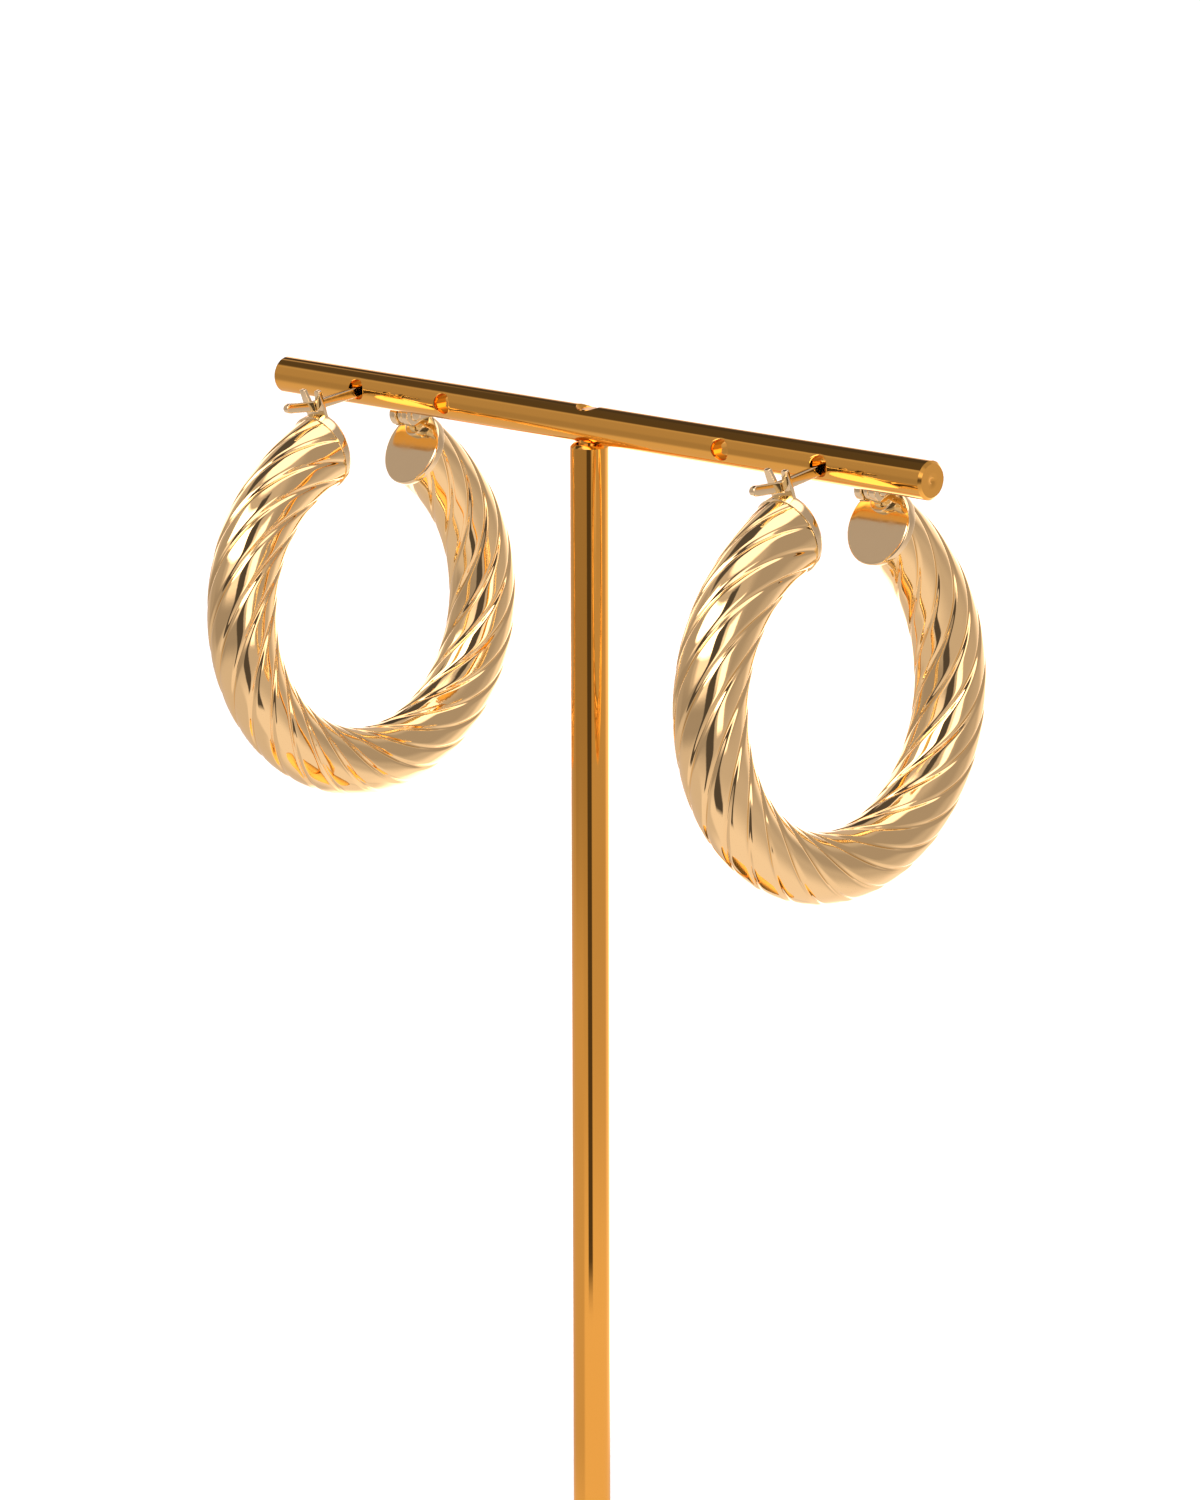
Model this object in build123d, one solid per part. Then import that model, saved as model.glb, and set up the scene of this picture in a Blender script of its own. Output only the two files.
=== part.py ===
from build123d import *
from math import cos, radians, sin
import os

# A pair of twisted hoop earrings hanging on a plain T-bar stand.
# The origin is on the stand post's axis at the underside of the base, and the bar lies along X.
# Each earring is drawn with its hoop's centre at the origin and the hoop in the YZ plane: the catch is
# towards -Y, the hinge towards +Y, and angles run from the top towards the catch. It is then hung in
# its hole in the bar.

# hoop
hoop_diameter = 45.0          # outside, across the whole hoop
tube_diameter = 7.9           # across the lobes
tube_bore = 6.4               # the hollow inside the tube
lobe_count = 9
groove_depth = 0.42
twist_arc = 135.0             # degrees round the hoop for one full turn of the lobes
section_step = 6.0            # degrees round the hoop between two sections of the loft
fade_arc = 8.0                # degrees round the hoop over which the grooves rise out of a collar
fade_depth = 0.04             # what is left of the grooves' depth at a collar
gap_angle = 46.0              # between the tube's two ends, seen from the hoop's centre
collar_length = 0.9
collar_rim = 0.1              # the collars stand this much proud of the tube
collar_round = 0.25

# catch
bracket_width = 3.1           # of the catch plate and of the hinge's clevis
catch_thickness = 0.45
catch_height = 3.3            # of the prongs above the tube
catch_flare = 0.35            # the prongs lean out this much at their tips
prong_tip_width = 0.5
prong_notch = 1.3             # depth of the open V between the prongs
catch_slot_gap = 0.12         # round the ear post in the catch's slot

# hinge
hinge_reach = 2.3             # from the cap's face to the pin's axis
hinge_drop = 0.3              # of the pin's axis below the top of the tube
clevis_radius = 1.35
clevis_foot_reach = 2.25      # of the clevis's foot down the cap's face, from the top of the tube
clevis_foot_thickness = 0.5
clevis_foot_sunk = 0.2        # into the cap, under the solder
clevis_slot_gap = 0.15        # on each side of the ear post's eye
hinge_pin_diameter = 0.8
hinge_pin_end = 0.15          # the riveted ends stand this much proud of the clevis
hinge_running_gap = 0.05
rivet_gap = 0.03

# ear post, cut from flat strip
ear_post_thickness = 0.75
ear_post_height = 1.1
ear_post_slope = 14.0         # degrees, falling towards the catch
ear_post_tip_slope = 3.0      # degrees, past the bend at the catch
ear_post_tip_length = 4.0
catch_to_bend = 0.25          # from the catch plate's front to the bend
arm_past_bar = 1.0            # how far the straight arm runs on behind the bar
eye_diameter = 2.3
post_offset = -0.85           # of the arm's middle from the hoop's centre line, along Y
post_rise = 2.17              # of the arm's middle over the top of the hoop

# bar
bar_diameter = 4.2
bar_length = 98.6
bar_chamfer = 0.3
inner_hole_spacing = 42.5
outer_hole_spacing = 70.6
bar_hole_diameter = 2.3
centre_mark_diameter = 0.7
centre_mark_depth = 0.25

# stand post and base
stand_height = 150.0          # from the base's underside to the bar's axis
stand_post_diameter = 4.3
stand_post_chamfer = 0.35
spigot_diameter = 2.4
spigot_gap = 0.05
spigot_recess = 0.35          # of the spigot's end below the top of the bar
spigot_chamfer = 0.2
spigot_mouth_diameter = 3.2   # across the countersink round the spigot's end
spigot_mouth_depth = 0.5
seat_gap = 0.03
base_diameter = 76.0
base_thickness = 4.0
base_edge_radius = 0.8
base_foot_chamfer = 0.3
socket_depth = 2.8
socket_gap = 0.05

# how each earring hangs: turned in the hoop's plane, leaning and twisted in its hole, and slid along it
hang = {
    "left": {"side": -1, "turn": -6.5, "lean": -4.0, "yaw": -2.0, "slide": -0.6},
    "right": {"side": 1, "turn": -4.5, "lean": -4.0, "yaw": -2.2, "slide": 0.0},
}
post_drop = 0.08              # of the ear post below the middle of its hole

tube_radius = tube_diameter / 2
ring_radius = hoop_diameter / 2 - tube_radius
half_gap = gap_angle / 2


def over_ring(angle, height=0.0):
    """The point this high over the tube's centre line, at this angle round the hoop."""
    reach = ring_radius + height
    return Vector(0, -reach * sin(radians(angle)), reach * cos(radians(angle)))


def end_plane(side):
    """The plane of the tube's end at the catch (1) or the hinge (-1): it faces the gap, its Y is outwards."""
    angle = radians(side * half_gap)
    return Plane(origin=over_ring(side * half_gap), x_dir=(-side, 0, 0),
                 z_dir=(0, side * cos(angle), side * sin(angle)))


def lobed_section(angle):
    """The tube's section: one arc for each lobe, meeting in grooves that fade out towards the collars."""
    from_end = min(angle - half_gap, 360 - half_gap - angle)
    depth = fade_depth + (groove_depth - fade_depth) * min(1.0, from_end / fade_arc)
    plane = Plane(origin=over_ring(angle), x_dir=(1, 0, 0),
                  z_dir=(0, -cos(radians(angle)), -sin(radians(angle))))

    def rim(radius, lobe):
        turn = radians(360 * angle / twist_arc + 360 * lobe / lobe_count)
        return radius * cos(turn), radius * sin(turn)

    valley = tube_radius - depth
    arcs = [ThreePointArc(rim(valley, lobe), rim(tube_radius, lobe + 0.5), rim(valley, lobe + 1))
            for lobe in range(lobe_count)]
    return plane * make_face(arcs)


def twisted_tube():
    """The lobed tube, lofted round the hoop and bored along its centre line."""
    span = 360 - gap_angle
    steps = round(span / section_step)
    outer = loft([lobed_section(half_gap + span * step / steps) for step in range(steps + 1)])
    centre_line = Plane.YZ * CenterArc((0, 0, 0), ring_radius, 90 + half_gap, span)
    start = end_plane(1)
    bore = sweep(Plane(origin=start.origin, z_dir=-start.z_dir) * Circle(tube_bore / 2), path=centre_line)
    return outer - bore


def collar(side):
    """The rim and flat cap that close one end of the tube."""
    disc = extrude(end_plane(side) * Circle(tube_radius + collar_rim), collar_length)
    cap = disc.faces().sort_by(lambda face: (face.center() - end_plane(side).origin).length)[-1]
    return fillet(cap.edges(), collar_round)


# the straight arm of the ear post, drawn in the plane of Y and Z
arm_way = Vector(cos(radians(ear_post_slope)), sin(radians(ear_post_slope)))
arm_middle = Vector(post_offset, hoop_diameter / 2 + post_rise)
catch_mid = end_plane(1).offset(collar_length / 2)
catch_normal = Vector(catch_mid.z_dir.Y, catch_mid.z_dir.Z)
catch_origin = Vector(catch_mid.origin.Y, catch_mid.origin.Z)
arm_to_catch = (catch_origin - arm_middle).dot(catch_normal) / arm_way.dot(catch_normal)
arm_height_at_catch = (arm_middle + arm_way * arm_to_catch - catch_origin).length

# the hinge pin's axis, from the tube's end and in the plane of Y and Z
pin_reach = collar_length + hinge_reach
pin_height = tube_radius - hinge_drop
pin_point = end_plane(-1).from_local_coords(Vector(0, pin_height, pin_reach))
pin_centre = Vector(pin_point.Y, pin_point.Z)


def catch_plate():
    """The upright plate of the catch, soldered into its collar: a slot between two flared prongs."""
    half = bracket_width / 2
    tip = tube_radius + catch_height
    slot = ear_post_thickness / 2 + catch_slot_gap
    slot_floor = arm_height_at_catch - ear_post_height / 2 - catch_slot_gap
    right = [(half, tube_radius - collar_length), (half, tube_radius), (half + catch_flare, tip),
             (half + catch_flare - prong_tip_width, tip), (slot, tip - prong_notch), (slot, slot_floor)]
    left = [(-x, y) for x, y in reversed(right)]
    plane = catch_mid.offset(-catch_thickness / 2)
    return extrude(plane * make_face(Polyline(*right, *left, close=True)), catch_thickness)


def clevis():
    """The hinge's clevis: a foot on the cap's face and two ears for the pin, slotted for the eye."""
    back = end_plane(-1)
    side_view = Plane(origin=back.origin, x_dir=back.z_dir, z_dir=(-1, 0, 0))
    half = bracket_width / 2
    foot_front = collar_length + clevis_foot_thickness
    foot_bottom = tube_radius - clevis_foot_reach
    ear_top = pin_height + clevis_radius
    foot = Pos(0, foot_bottom + half) * Circle(half)
    foot += Pos(0, (foot_bottom + half + ear_top) / 2) * Rectangle(bracket_width, ear_top - foot_bottom - half)
    body = extrude(back.offset(collar_length - clevis_foot_sunk) * foot, clevis_foot_thickness + clevis_foot_sunk)
    ears = Pos(pin_reach, pin_height) * Circle(clevis_radius)
    ears += Pos((collar_length + pin_reach) / 2, pin_height + clevis_radius / 4) * Rectangle(
        hinge_reach, clevis_radius * 1.5)
    body += extrude(side_view * ears, half, both=True)
    far = pin_reach + 2 * clevis_radius
    slot = Polyline((foot_front, 0), (far, 0), (far, 2 * ear_top), (collar_length, 2 * ear_top),
                    (collar_length, pin_height), (foot_front, pin_height), close=True)
    body -= extrude(side_view * make_face(slot), ear_post_thickness / 2 + clevis_slot_gap, both=True)
    bore = Pos(pin_reach, pin_height) * Circle(hinge_pin_diameter / 2 + rivet_gap)
    return body - extrude(side_view * bore, bracket_width, both=True)


def hoop():
    return twisted_tube() + collar(1) + collar(-1) + catch_plate() + clevis()


def ear_post():
    """The flat strip through the bar: bent down to its eye at the hinge, and bent once at the catch."""
    tip_way = Vector(cos(radians(ear_post_tip_slope)), sin(radians(ear_post_tip_slope)))
    bend = arm_middle + arm_way * (arm_to_catch - catch_to_bend - catch_thickness / 2)
    tip = bend - tip_way * ear_post_tip_length
    arm_end = arm_middle + arm_way * (bar_diameter / 2 / arm_way.X + arm_past_bar)
    line = Polyline(tip, bend, arm_end) + TangentArc(arm_end, pin_centre, tangent=arm_way)
    strip = trace(line, ear_post_height)
    for rounded in (tip, bend):
        strip += Pos(rounded.X, rounded.Y) * Circle(ear_post_height / 2)
    strip += Pos(pin_centre.X, pin_centre.Y) * Circle(eye_diameter / 2)
    strip -= Pos(pin_centre.X, pin_centre.Y) * Circle(hinge_pin_diameter / 2 + hinge_running_gap)
    return extrude(Plane.YZ * strip, ear_post_thickness / 2, both=True)


def hinge_pin():
    """The rivet through the clevis and the eye."""
    section = Pos(pin_centre.X, pin_centre.Y) * Circle(hinge_pin_diameter / 2)
    rivet = extrude(Plane.YZ * section, bracket_width / 2 + hinge_pin_end, both=True)
    return fillet(rivet.edges().filter_by(GeomType.CIRCLE), hinge_pin_end * 0.8)


def hung(piece, way):
    """An earring's piece, moved from its drawing to where it hangs on the bar."""
    hole = Pos(way["side"] * outer_hole_spacing / 2, way["slide"], stand_height - post_drop)
    set_in_hole = Rot(Z=way["yaw"]) * Rot(Y=way["lean"]) * Rot(X=way["turn"])
    return hole * set_in_hole * Pos(0, -arm_middle.X, -arm_middle.Y) * piece


def cross_bar():
    """The round bar with four earring holes across it and the spigot's hole down through its middle."""
    bar = Rot(Y=90) * Cylinder(bar_diameter / 2, bar_length)
    bar = chamfer(bar.edges().filter_by(GeomType.CIRCLE), bar_chamfer)
    for spacing in (inner_hole_spacing, outer_hole_spacing):
        for side in (-1, 1):
            bar -= Pos(side * spacing / 2, 0, 0) * Rot(X=90) * Cylinder(bar_hole_diameter / 2, 2 * bar_diameter)
    for side in (-1, 1):
        mark = Cone(0, centre_mark_diameter / 2, centre_mark_depth)
        bar -= Pos(side * (bar_length - centre_mark_depth) / 2, 0, 0) * Rot(Y=90 * side) * mark
    bar -= Cylinder(spigot_diameter / 2 + spigot_gap, 2 * bar_diameter)
    mouth = Cone(spigot_diameter / 2 + spigot_gap, spigot_mouth_diameter / 2, spigot_mouth_depth)
    bar -= Pos(0, 0, (bar_diameter - spigot_mouth_depth) / 2) * mouth
    return Pos(0, 0, stand_height) * bar


def stand_post():
    """The upright rod, with a spigot on top that passes up through the bar."""
    foot = base_thickness - socket_depth + seat_gap
    shoulder = stand_height - bar_diameter / 2 - seat_gap
    spigot_end = stand_height + bar_diameter / 2 - spigot_recess
    up = (Align.CENTER, Align.CENTER, Align.MIN)
    rod = Pos(0, 0, foot) * Cylinder(stand_post_diameter / 2, shoulder - foot, align=up)
    rod = chamfer(rod.edges().filter_by(GeomType.CIRCLE), stand_post_chamfer)
    spigot = Pos(0, 0, foot) * Cylinder(spigot_diameter / 2, spigot_end - foot, align=up)
    spigot = chamfer(spigot.edges().group_by(Axis.Z)[-1], spigot_chamfer)
    return rod + spigot


def stand_base():
    """The round foot, with a blind socket for the rod."""
    up = (Align.CENTER, Align.CENTER, Align.MIN)
    disc = Cylinder(base_diameter / 2, base_thickness, align=up)
    disc = fillet(disc.edges().group_by(Axis.Z)[-1], base_edge_radius)
    disc = chamfer(disc.edges().group_by(Axis.Z)[0], base_foot_chamfer)
    socket = Cylinder(stand_post_diameter / 2 + socket_gap, 2 * socket_depth)
    return disc - Pos(0, 0, base_thickness) * socket


nodes = {"cross_bar": cross_bar(), "stand_post": stand_post(), "stand_base": stand_base()}
earring = {"hoop": hoop(), "ear_post": ear_post(), "hinge_pin": hinge_pin()}
for hand, way in hang.items():
    for name, piece in earring.items():
        nodes[f"{hand}_{name}"] = hung(piece, way)

os.makedirs("parts", exist_ok=True)
for name, piece in nodes.items():
    export_step(piece, f"parts/{name}.step")
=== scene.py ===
import bmesh
import bpy
import numpy as np
from mathutils import Matrix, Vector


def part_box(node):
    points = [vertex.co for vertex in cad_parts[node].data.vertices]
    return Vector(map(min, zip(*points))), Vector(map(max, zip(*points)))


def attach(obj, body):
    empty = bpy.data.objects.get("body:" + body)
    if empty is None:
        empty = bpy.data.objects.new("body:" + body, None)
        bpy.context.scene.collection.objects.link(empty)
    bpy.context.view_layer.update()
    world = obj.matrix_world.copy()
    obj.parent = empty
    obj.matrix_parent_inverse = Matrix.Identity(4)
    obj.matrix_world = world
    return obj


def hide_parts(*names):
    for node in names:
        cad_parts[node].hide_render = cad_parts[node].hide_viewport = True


# A pair of twisted gold hoops hanging shut on a polished T-bar stand. Lengths below are in millimetres.
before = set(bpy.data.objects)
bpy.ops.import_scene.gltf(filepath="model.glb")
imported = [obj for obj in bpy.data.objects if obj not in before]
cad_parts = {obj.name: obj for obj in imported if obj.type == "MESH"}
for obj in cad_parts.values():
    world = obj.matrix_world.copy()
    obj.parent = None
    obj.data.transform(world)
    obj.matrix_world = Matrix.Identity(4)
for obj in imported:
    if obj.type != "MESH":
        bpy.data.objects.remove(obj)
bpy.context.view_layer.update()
mm = 0.001
weldGap = 0.001
barLow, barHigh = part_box("cross_bar")
barHeight = (barLow.z + barHigh.z) / 2 / mm
print("frame loaded")


# small tools for the meshes

def gridQuads(rows, columns, closed, start):
    # the four corners of every cell of a grid, and of the cells over the seam where it is closed
    r, c = np.meshgrid(np.arange(rows - 1), np.arange(columns if closed else columns - 1), indexing="ij")
    right = (c + 1) % columns
    return start + np.stack([r * columns + c, r * columns + right, (r + 1) * columns + right,
                             (r + 1) * columns + c], -1).reshape(-1, 4)


def pieceFrom(name, patches, material, body, node, place=np.eye(4), sharpAngle=32, groove=None):
    # each patch is a grid of points, whether its columns close in a ring, and whether its end rings are capped
    corners, faces, count = [], [], 0
    for grid, closed, capped in patches:
        rows, columns = grid.shape[:2]
        corners.append(grid.reshape(-1, 3))
        faces += gridQuads(rows, columns, closed, count).tolist()
        if capped:
            ring = count + np.arange(columns)
            faces += [ring[::-1].tolist(), (ring + (rows - 1) * columns).tolist()]
        count += rows * columns
    corners = np.concatenate(corners) @ place[:3, :3].T + place[:3, 3]
    mesh = bpy.data.meshes.new(name)
    mesh.from_pydata((corners * mm).tolist(), [], faces)
    if groove is not None:  # how near each point lies to the bottom of a groove, 0 to 1, kept to paint shade there
        nearness = mesh.attributes.new("groove", "FLOAT", "POINT")
        nearness.data.foreach_set("value", groove.astype(np.float32).ravel())
    work = bmesh.new()
    work.from_mesh(mesh)
    bmesh.ops.remove_doubles(work, verts=work.verts, dist=weldGap * mm)
    bmesh.ops.recalc_face_normals(work, faces=work.faces)
    work.to_mesh(mesh)
    work.free()
    mesh.shade_smooth()
    mesh.set_sharp_from_angle(angle=np.radians(sharpAngle))
    mesh.materials.append(material)
    piece = bpy.data.objects.new(name, mesh)
    bpy.context.scene.collection.objects.link(piece)
    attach(piece, body)
    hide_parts(node)
    return piece


def turned(profile, count=64, start=0.0):
    # a profile of (radius, height) pairs spun round Z: x = radius cos t, y = radius sin t, z = height
    radius, height = np.array(profile, float).T
    t = np.radians(start) + np.linspace(0, 2 * np.pi, count, endpoint=False)
    return np.stack([np.outer(radius, np.cos(t)), np.outer(radius, np.sin(t)),
                     np.repeat(height[:, None], count, 1)], -1), True, False


def quarter(centre, radius, fromAngle, toAngle, steps=6):
    # points on a rounded edge: its centre, plus the radius at each angle, as (radius, height) pairs
    t = np.radians(np.linspace(fromAngle, toAngle, steps))
    return list(zip(centre[0] + radius * np.cos(t), centre[1] + radius * np.sin(t)))


def softened(points, cut, steps=5):
    # an outline with its corners rounded: between two points the cut away from a corner, each new point is
    # (1 - t) squared of the first, 2 t (1 - t) of the corner and t squared of the second
    points, cut = np.array(points, float), np.broadcast_to(cut, len(points))[:, None]
    back, ahead = np.roll(points, 1, 0) - points, np.roll(points, -1, 0) - points
    first = points + back / np.linalg.norm(back, axis=1)[:, None] * cut
    second = points + ahead / np.linalg.norm(ahead, axis=1)[:, None] * cut
    t = np.linspace(0, 1, steps)[None, :, None]
    curves = (1 - t) ** 2 * first[:, None] + 2 * t * (1 - t) * points[:, None] + t ** 2 * second[:, None]
    return curves.reshape(-1, 2)


def plate(outline, low, high, edge=0.07):
    # a flat plate: its anticlockwise outline is carried from one face to the other along z, and drawn in
    # by edge (1 - sin t) over a quarter turn at each face
    outline = np.array(outline, float)
    way = np.roll(outline, -1, 0) - outline
    way /= np.linalg.norm(way, axis=1)[:, None]
    inward = np.stack([-way[:, 1], way[:, 0]], 1)
    both = inward + np.roll(inward, 1, 0)
    both /= np.linalg.norm(both, axis=1)[:, None]
    both /= np.maximum(0.5, np.sum(both * inward, 1))[:, None]
    t = np.radians([0, 30, 60, 90])
    inset, rise = edge * (1 - np.sin(t)), edge * (1 - np.cos(t))
    inset = np.concatenate([inset, inset[::-1]])
    rise = np.concatenate([low + rise, (high - rise)[::-1]])
    flat = outline[None] + both[None] * inset[:, None, None]
    return np.concatenate([flat, np.broadcast_to(rise[:, None, None], flat.shape[:2] + (1,))], -1), True, True


def turn(axis, degrees):
    return np.array(Matrix.Rotation(np.radians(degrees), 4, axis))


def shift(x, y, z):
    return np.array(Matrix.Translation((x, y, z)))


def axesAt(origin, x, y, z):
    # takes a local frame to these three axes at this origin
    place = np.eye(4)
    place[:3, 0], place[:3, 1], place[:3, 2], place[:3, 3] = x, y, z, origin
    return place


def put(patch, place):
    grid, closed, capped = patch
    return grid @ place[:3, :3].T + place[:3, 3], closed, capped


# finishes

def newGroup(name, inputs, outputs):
    group = bpy.data.node_groups.new(name, "ShaderNodeTree")
    for label, kind, value in inputs:
        socket = group.interface.new_socket(label, in_out="INPUT", socket_type=kind)
        socket.default_value = value
    for label, kind in outputs:
        group.interface.new_socket(label, in_out="OUTPUT", socket_type=kind)
    return group, group.nodes.new("NodeGroupInput"), group.nodes.new("NodeGroupOutput")


def feed(tree, value, socket):
    # a number is set on the socket, and another node's output is linked to it
    if isinstance(value, (int, float)):
        socket.default_value = value
    else:
        tree.links.new(value, socket)


def mathNode(tree, operation, *values):
    node = tree.nodes.new("ShaderNodeMath")
    node.operation = operation
    for value, socket in zip(values, node.inputs):
        feed(tree, value, socket)
    return node.outputs[0]


def noiseNode(tree, place, scale, detail=3.0, roughness=0.5):
    node = tree.nodes.new("ShaderNodeTexNoise")
    node.inputs["Detail"].default_value = detail
    node.inputs["Roughness"].default_value = roughness
    feed(tree, place, node.inputs["Vector"])
    feed(tree, scale, node.inputs["Scale"])
    return node.outputs["Fac"]


def makeHandMarks():
    # faint smears and fine polishing lines, as a roughness mask and a height
    group, given, out = newGroup("handMarks", [("Smear Scale", "NodeSocketFloat", 220.0),
                                               ("Line Scale", "NodeSocketFloat", 900.0),
                                               ("Line Stretch", "NodeSocketVector", (1.0, 1.0, 0.06))],
                                 [("Smear", "NodeSocketFloat"), ("Lines", "NodeSocketFloat")])
    place = group.nodes.new("ShaderNodeTexCoord").outputs["Object"]
    stretch = group.nodes.new("ShaderNodeVectorMath")
    stretch.operation = "MULTIPLY"
    group.links.new(place, stretch.inputs[0])
    group.links.new(given.outputs["Line Stretch"], stretch.inputs[1])
    smear = noiseNode(group, place, given.outputs["Smear Scale"], 5.0, 0.6)
    ramp = group.nodes.new("ShaderNodeMapRange")
    ramp.inputs["From Min"].default_value, ramp.inputs["From Max"].default_value = 0.42, 0.72
    group.links.new(smear, ramp.inputs["Value"])
    group.links.new(ramp.outputs["Result"], out.inputs["Smear"])
    group.links.new(noiseNode(group, stretch.outputs[0], given.outputs["Line Scale"], 2.0), out.inputs["Lines"])
    return group


def makeCastSkin():
    # the gentle unevenness of cast and polished metal, as a height
    group, given, out = newGroup("castSkin", [("Wave Scale", "NodeSocketFloat", 260.0),
                                              ("Pit Scale", "NodeSocketFloat", 1500.0),
                                              ("Pit Share", "NodeSocketFloat", 0.35)],
                                 [("Height", "NodeSocketFloat")])
    place = group.nodes.new("ShaderNodeTexCoord").outputs["Object"]
    wave = noiseNode(group, place, given.outputs["Wave Scale"], 1.0)
    pits = noiseNode(group, place, given.outputs["Pit Scale"], 3.0)
    height = mathNode(group, "ADD", wave, mathNode(group, "MULTIPLY", pits, given.outputs["Pit Share"]))
    group.links.new(height, out.inputs["Height"])
    return group


def makeAlloyTone():
    # the metal's colour, a little paler in soft patches, and deeper towards the Deep colour where the shade share
    # is 1: painted shade, standing in for the shade that falls in the grooves
    group, given, out = newGroup("alloyTone", [("Metal", "NodeSocketColor", (0.9, 0.7, 0.4, 1)),
                                               ("Pale", "NodeSocketColor", (0.95, 0.8, 0.5, 1)),
                                               ("Deep", "NodeSocketColor", (0.8, 0.5, 0.2, 1)),
                                               ("Patch Scale", "NodeSocketFloat", 60.0),
                                               ("Painted Shade", "NodeSocketFloat", 0.0)],
                                 [("Color", "NodeSocketColor")])
    place = group.nodes.new("ShaderNodeTexCoord").outputs["Object"]
    patches = noiseNode(group, place, given.outputs["Patch Scale"], 2.0)
    last = given.outputs["Metal"]
    for other, share in (("Pale", mathNode(group, "MULTIPLY", patches, 0.5)), ("Deep", given.outputs["Painted Shade"])):
        mix = group.nodes.new("ShaderNodeMix")
        mix.data_type = "RGBA"
        group.links.new(share, mix.inputs["Factor"])
        group.links.new(last, mix.inputs["A"])
        group.links.new(given.outputs[other], mix.inputs["B"])
        last = mix.outputs["Result"]
    group.links.new(last, out.inputs["Color"])
    return group


handMarks, castSkin, alloyTone = makeHandMarks(), makeCastSkin(), makeAlloyTone()


def goldFinish(name, look):
    material = bpy.data.materials.new(name)
    material.use_nodes = True
    tree = material.node_tree
    shader = tree.nodes["Principled BSDF"]
    shader.inputs["Metallic"].default_value = 1.0

    def placed(group, values):
        node = tree.nodes.new("ShaderNodeGroup")
        node.node_tree = group
        for label, value in values.items():
            node.inputs[label].default_value = value
        return node

    tone = placed(alloyTone, look["tone"])
    # painted shade: the base colour is deepened towards each groove's bottom, where the groove attribute is near
    # 1
    if look.get("paintedGrooveShade"):
        groove = tree.nodes.new("ShaderNodeAttribute")
        groove.attribute_name = "groove"
        deepen = mathNode(tree, "MULTIPLY", groove.outputs["Fac"], look["paintedGrooveShade"])
        tree.links.new(deepen, tone.inputs["Painted Shade"])
    tree.links.new(tone.outputs["Color"], shader.inputs["Base Color"])
    marks = placed(handMarks, look["marks"])
    gloss = tree.nodes.new("ShaderNodeMapRange")
    gloss.inputs["To Min"].default_value, gloss.inputs["To Max"].default_value = look["roughness"]
    tree.links.new(marks.outputs["Smear"], gloss.inputs["Value"])
    tree.links.new(gloss.outputs["Result"], shader.inputs["Roughness"])
    skin = placed(castSkin, look["skin"])
    lines = mathNode(tree, "MULTIPLY", marks.outputs["Lines"], look["lineShare"])
    bump = tree.nodes.new("ShaderNodeBump")
    bump.inputs["Strength"].default_value = 1.0
    bump.inputs["Distance"].default_value = look["skinDepth"] * mm
    tree.links.new(mathNode(tree, "ADD", skin.outputs["Height"], lines), bump.inputs["Height"])
    tree.links.new(bump.outputs["Normal"], shader.inputs["Normal"])
    return material


hoopGold = goldFinish("hoopGold", {
    "tone": {"Metal": (0.94, 0.73, 0.375, 1), "Pale": (0.95, 0.78, 0.44, 1), "Deep": (0.92, 0.60, 0.24, 1),
             "Patch Scale": 90.0},
    # how strongly painted shade deepens the colour in the grooves
    "paintedGrooveShade": 0.12,
    "marks": {"Smear Scale": 260.0, "Line Scale": 1500.0, "Line Stretch": (1.0, 0.4, 0.4)},
    "roughness": (0.03, 0.08), "lineShare": 0.1, "skinDepth": 0.011,
    "skin": {"Wave Scale": 300.0, "Pit Scale": 1700.0, "Pit Share": 0.28}})
capGold = goldFinish("capGold", {
    "tone": {"Metal": (0.95, 0.79, 0.48, 1), "Pale": (0.96, 0.83, 0.53, 1), "Patch Scale": 160.0},
    "marks": {"Smear Scale": 700.0, "Line Scale": 1400.0, "Line Stretch": (1.0, 1.0, 0.1)},
    "roughness": (0.05, 0.14), "lineShare": 0.1, "skinDepth": 0.004,
    "skin": {"Wave Scale": 250.0, "Pit Scale": 1600.0, "Pit Share": 0.2}})
fittingGold = goldFinish("fittingGold", {
    "tone": {"Metal": (0.96, 0.81, 0.50, 1), "Pale": (0.97, 0.86, 0.58, 1), "Patch Scale": 400.0},
    "marks": {"Smear Scale": 900.0, "Line Scale": 2500.0, "Line Stretch": (1.0, 0.08, 1.0)},
    "roughness": (0.05, 0.13), "lineShare": 0.3, "skinDepth": 0.006,
    "skin": {"Wave Scale": 700.0, "Pit Scale": 2600.0, "Pit Share": 0.3}})
barGold = goldFinish("barGold", {
    "tone": {"Metal": (0.95, 0.525, 0.107, 1), "Pale": (0.96, 0.57, 0.13, 1), "Patch Scale": 40.0},
    "marks": {"Smear Scale": 180.0, "Line Scale": 3000.0, "Line Stretch": (0.02, 1.0, 1.0)},
    "roughness": (0.03, 0.08), "lineShare": 0.25, "skinDepth": 0.0015,
    "skin": {"Wave Scale": 120.0, "Pit Scale": 1500.0, "Pit Share": 0.1}})
standGold = goldFinish("standGold", {
    "tone": {"Metal": (0.85, 0.445, 0.080, 1), "Pale": (0.87, 0.49, 0.105, 1), "Patch Scale": 40.0},
    "marks": {"Smear Scale": 180.0, "Line Scale": 3000.0, "Line Stretch": (1.0, 1.0, 0.02)},
    "roughness": (0.04, 0.09), "lineShare": 0.25, "skinDepth": 0.0015,
    "skin": {"Wave Scale": 120.0, "Pit Scale": 1500.0, "Pit Share": 0.1}})
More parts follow.
